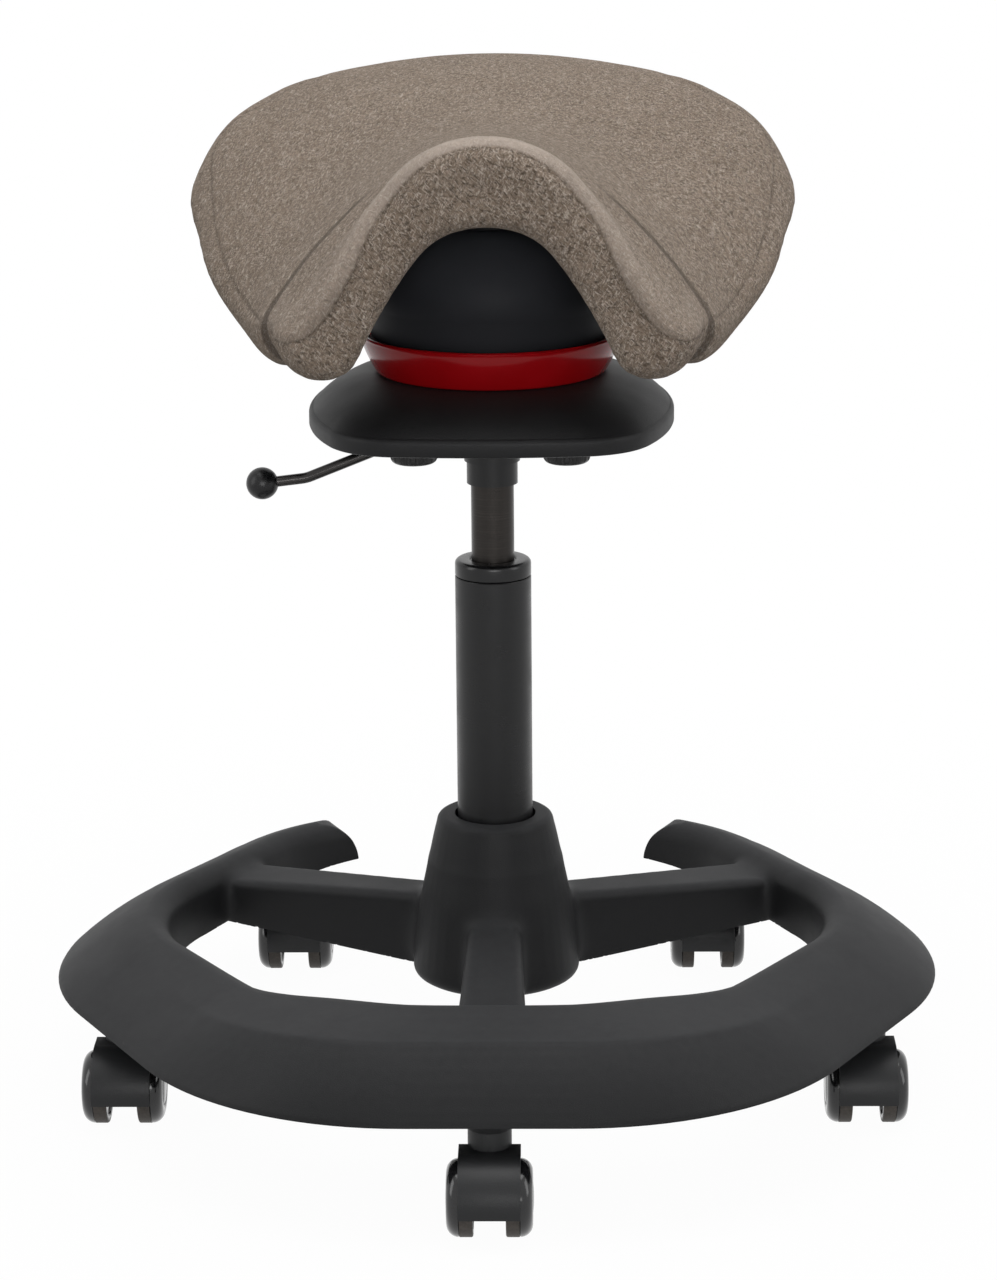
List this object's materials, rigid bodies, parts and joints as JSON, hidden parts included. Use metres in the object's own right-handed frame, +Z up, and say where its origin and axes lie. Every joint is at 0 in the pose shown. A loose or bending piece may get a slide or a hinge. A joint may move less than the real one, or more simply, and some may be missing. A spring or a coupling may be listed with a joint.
{
  "type": "saddle stool",
  "caption": "Height-adjustable saddle stool: arched fabric saddle on a tilting dome and red balance wheel, gas lift with side lever, three-arm base with an open foot ring on twin-wheel casters.",
  "frame": {"origin": "on the floor under the column's axis", "axes": "+Z up, the sitter faces -Y, +X to the right as seen by someone facing the stool"},
  "size_m": [0.59, 0.5613, 0.6681],
  "materials": {
    "base_plastic": "fine grained matte black",
    "column_steel": "satin black powder coat",
    "dark_steel": "black oxide, satin",
    "bright_steel": "plain turned steel",
    "grip_plastic": "satin black",
    "balance_red": "deep glossy red",
    "buffer_rubber": "matte black",
    "inner_plastic": "matte black",
    "dome_plastic": "satin blue-black",
    "seat_fabric": "taupe wool felt",
    "caster_plastic": "matte charcoal",
    "wheel_plastic": "glossy black sides with a soft tread"
  },
  "bodies": {
    "base": {"base_moulding": "base_plastic", "column_tube": "column_steel", "guide_bush": "base_plastic", "thrust_bearing": "bright_steel"},
    "lift_rod": {"piston_rod": "bright_steel", "rod_clip": "bright_steel"},
    "mechanism": {"gas_cylinder": "dark_steel", "spacer_collar": "dark_steel", "taper_socket": "dark_steel", "mounting_plate": "dark_steel", "plate_cover": "base_plastic", "knob_studs": "bright_steel", "lever_bracket": "dark_steel", "lever_pivot": "bright_steel", "balance_post": "inner_plastic"},
    "pin": {"release_pin": "bright_steel"},
    "lever": {"lever_rod": "dark_steel", "lever_ball": "grip_plastic"},
    "balance": {"balance_wheel": "balance_red", "balance_buffer": "buffer_rubber"},
    "ball": {"pivot_ball": "bright_steel"},
    "seat": {"seat_socket": "inner_plastic", "seat_dome": "dome_plastic", "dome_screws": "bright_steel", "seat_shell": "inner_plastic", "saddle_pad": "seat_fabric"},
    "knob_front_left": {"knob_front_left": "grip_plastic"},
    "knob_front_right": {"knob_front_right": "grip_plastic"},
    "knob_rear_left": {"knob_rear_left": "grip_plastic"},
    "knob_rear_right": {"knob_rear_right": "grip_plastic"},
    "caster_front": {"caster_front_stem": "bright_steel", "caster_front_hood": "caster_plastic", "caster_front_axle": "bright_steel"},
    "caster_front_wheel_left": {"caster_front_wheel_left": "wheel_plastic"},
    "caster_front_wheel_right": {"caster_front_wheel_right": "wheel_plastic"},
    "caster_front_right": {"caster_front_right_stem": "bright_steel", "caster_front_right_hood": "caster_plastic", "caster_front_right_axle": "bright_steel"},
    "caster_front_right_wheel_left": {"caster_front_right_wheel_left": "wheel_plastic"},
    "caster_front_right_wheel_right": {"caster_front_right_wheel_right": "wheel_plastic"},
    "caster_rear_right": {"caster_rear_right_stem": "bright_steel", "caster_rear_right_hood": "caster_plastic", "caster_rear_right_axle": "bright_steel"},
    "caster_rear_right_wheel_left": {"caster_rear_right_wheel_left": "wheel_plastic"},
    "caster_rear_right_wheel_right": {"caster_rear_right_wheel_right": "wheel_plastic"},
    "caster_rear_left": {"caster_rear_left_stem": "bright_steel", "caster_rear_left_hood": "caster_plastic", "caster_rear_left_axle": "bright_steel"},
    "caster_rear_left_wheel_left": {"caster_rear_left_wheel_left": "wheel_plastic"},
    "caster_rear_left_wheel_right": {"caster_rear_left_wheel_right": "wheel_plastic"},
    "caster_front_left": {"caster_front_left_stem": "bright_steel", "caster_front_left_hood": "caster_plastic", "caster_front_left_axle": "bright_steel"},
    "caster_front_left_wheel_left": {"caster_front_left_wheel_left": "wheel_plastic"},
    "caster_front_left_wheel_right": {"caster_front_left_wheel_right": "wheel_plastic"}
  },
  "joints": [
    {"name": "seat_swivel", "type": "hinge", "parent": "base", "child": "lift_rod", "pos_m": [0, 0, 0.0885], "axis": [0, 0, 1], "continuous": true},
    {"name": "seat_height", "type": "slide", "parent": "lift_rod", "child": "mechanism", "axis": [0, 0, 1], "range_m": [-0.048, 0.11]},
    {"name": "release_lever", "type": "hinge", "parent": "mechanism", "child": "lever", "pos_m": [-0.042, 0, 0.4419], "axis": [0, 1, 0], "range_deg": [0, 5], "stiffness_Nm_per_rad": 6, "springref_deg": -2.86},
    {"name": "release_pin", "type": "slide", "parent": "mechanism", "child": "pin", "axis": [0, 0, -1], "range_m": [0, 0.0037]},
    {"name": "balance_setting", "type": "hinge", "parent": "mechanism", "child": "balance", "pos_m": [0, 0, 0.495], "axis": [0, 0, 1], "range_deg": [-180, 180]},
    {"name": "seat_pitch", "type": "hinge", "parent": "mechanism", "child": "ball", "pos_m": [0, 0, 0.51], "axis": [1, 0, 0], "range_deg": [-6, 6], "stiffness_Nm_per_rad": 120},
    {"name": "seat_roll", "type": "hinge", "parent": "ball", "child": "seat", "pos_m": [0, 0, 0.51], "axis": [0, 1, 0], "range_deg": [-6, 6], "stiffness_Nm_per_rad": 120},
    {"name": "knob_front_left_turn", "type": "hinge", "parent": "mechanism", "child": "knob_front_left", "pos_m": [-0.0485, -0.055, 0.439], "axis": [0, 0, 1], "continuous": true},
    {"name": "knob_front_right_turn", "type": "hinge", "parent": "mechanism", "child": "knob_front_right", "pos_m": [0.0485, -0.055, 0.439], "axis": [0, 0, 1], "continuous": true},
    {"name": "knob_rear_left_turn", "type": "hinge", "parent": "mechanism", "child": "knob_rear_left", "pos_m": [-0.0485, 0.055, 0.439], "axis": [0, 0, 1], "continuous": true},
    {"name": "knob_rear_right_turn", "type": "hinge", "parent": "mechanism", "child": "knob_rear_right", "pos_m": [0.0485, 0.055, 0.439], "axis": [0, 0, 1], "continuous": true},
    {"name": "caster_front_swivel", "type": "hinge", "parent": "base", "child": "caster_front", "pos_m": [0, -0.255, 0.07], "axis": [0, 0, 1], "continuous": true},
    {"name": "caster_front_wheel_left_spin", "type": "hinge", "parent": "caster_front", "child": "caster_front_wheel_left", "pos_m": [0, -0.271, 0.024], "axis": [1, 0, 0], "continuous": true},
    {"name": "caster_front_wheel_right_spin", "type": "hinge", "parent": "caster_front", "child": "caster_front_wheel_right", "pos_m": [0, -0.271, 0.024], "axis": [1, 0, 0], "continuous": true},
    {"name": "caster_front_right_swivel", "type": "hinge", "parent": "base", "child": "caster_front_right", "pos_m": [0.24252, -0.0788, 0.07], "axis": [0, 0, 1], "continuous": true},
    {"name": "caster_front_right_wheel_left_spin", "type": "hinge", "parent": "caster_front_right", "child": "caster_front_right_wheel_left", "pos_m": [0.24252, -0.0948, 0.024], "axis": [1, 0, 0], "continuous": true},
    {"name": "caster_front_right_wheel_right_spin", "type": "hinge", "parent": "caster_front_right", "child": "caster_front_right_wheel_right", "pos_m": [0.24252, -0.0948, 0.024], "axis": [1, 0, 0], "continuous": true},
    {"name": "caster_rear_right_swivel", "type": "hinge", "parent": "base", "child": "caster_rear_right", "pos_m": [0.14988, 0.2063, 0.07], "axis": [0, 0, 1], "continuous": true},
    {"name": "caster_rear_right_wheel_left_spin", "type": "hinge", "parent": "caster_rear_right", "child": "caster_rear_right_wheel_left", "pos_m": [0.14988, 0.1903, 0.024], "axis": [1, 0, 0], "continuous": true},
    {"name": "caster_rear_right_wheel_right_spin", "type": "hinge", "parent": "caster_rear_right", "child": "caster_rear_right_wheel_right", "pos_m": [0.14988, 0.1903, 0.024], "axis": [1, 0, 0], "continuous": true},
    {"name": "caster_rear_left_swivel", "type": "hinge", "parent": "base", "child": "caster_rear_left", "pos_m": [-0.14988, 0.2063, 0.07], "axis": [0, 0, 1], "continuous": true},
    {"name": "caster_rear_left_wheel_left_spin", "type": "hinge", "parent": "caster_rear_left", "child": "caster_rear_left_wheel_left", "pos_m": [-0.14988, 0.1903, 0.024], "axis": [1, 0, 0], "continuous": true},
    {"name": "caster_rear_left_wheel_right_spin", "type": "hinge", "parent": "caster_rear_left", "child": "caster_rear_left_wheel_right", "pos_m": [-0.14988, 0.1903, 0.024], "axis": [1, 0, 0], "continuous": true},
    {"name": "caster_front_left_swivel", "type": "hinge", "parent": "base", "child": "caster_front_left", "pos_m": [-0.24252, -0.0788, 0.07], "axis": [0, 0, 1], "continuous": true},
    {"name": "caster_front_left_wheel_left_spin", "type": "hinge", "parent": "caster_front_left", "child": "caster_front_left_wheel_left", "pos_m": [-0.24252, -0.0948, 0.024], "axis": [1, 0, 0], "continuous": true},
    {"name": "caster_front_left_wheel_right_spin", "type": "hinge", "parent": "caster_front_left", "child": "caster_front_left_wheel_right", "pos_m": [-0.24252, -0.0948, 0.024], "axis": [1, 0, 0], "continuous": true}
  ],
  "couplings": [
    {"joint": "release_pin", "follows": "release_lever", "m_per_rad": 0.042}
  ]
}
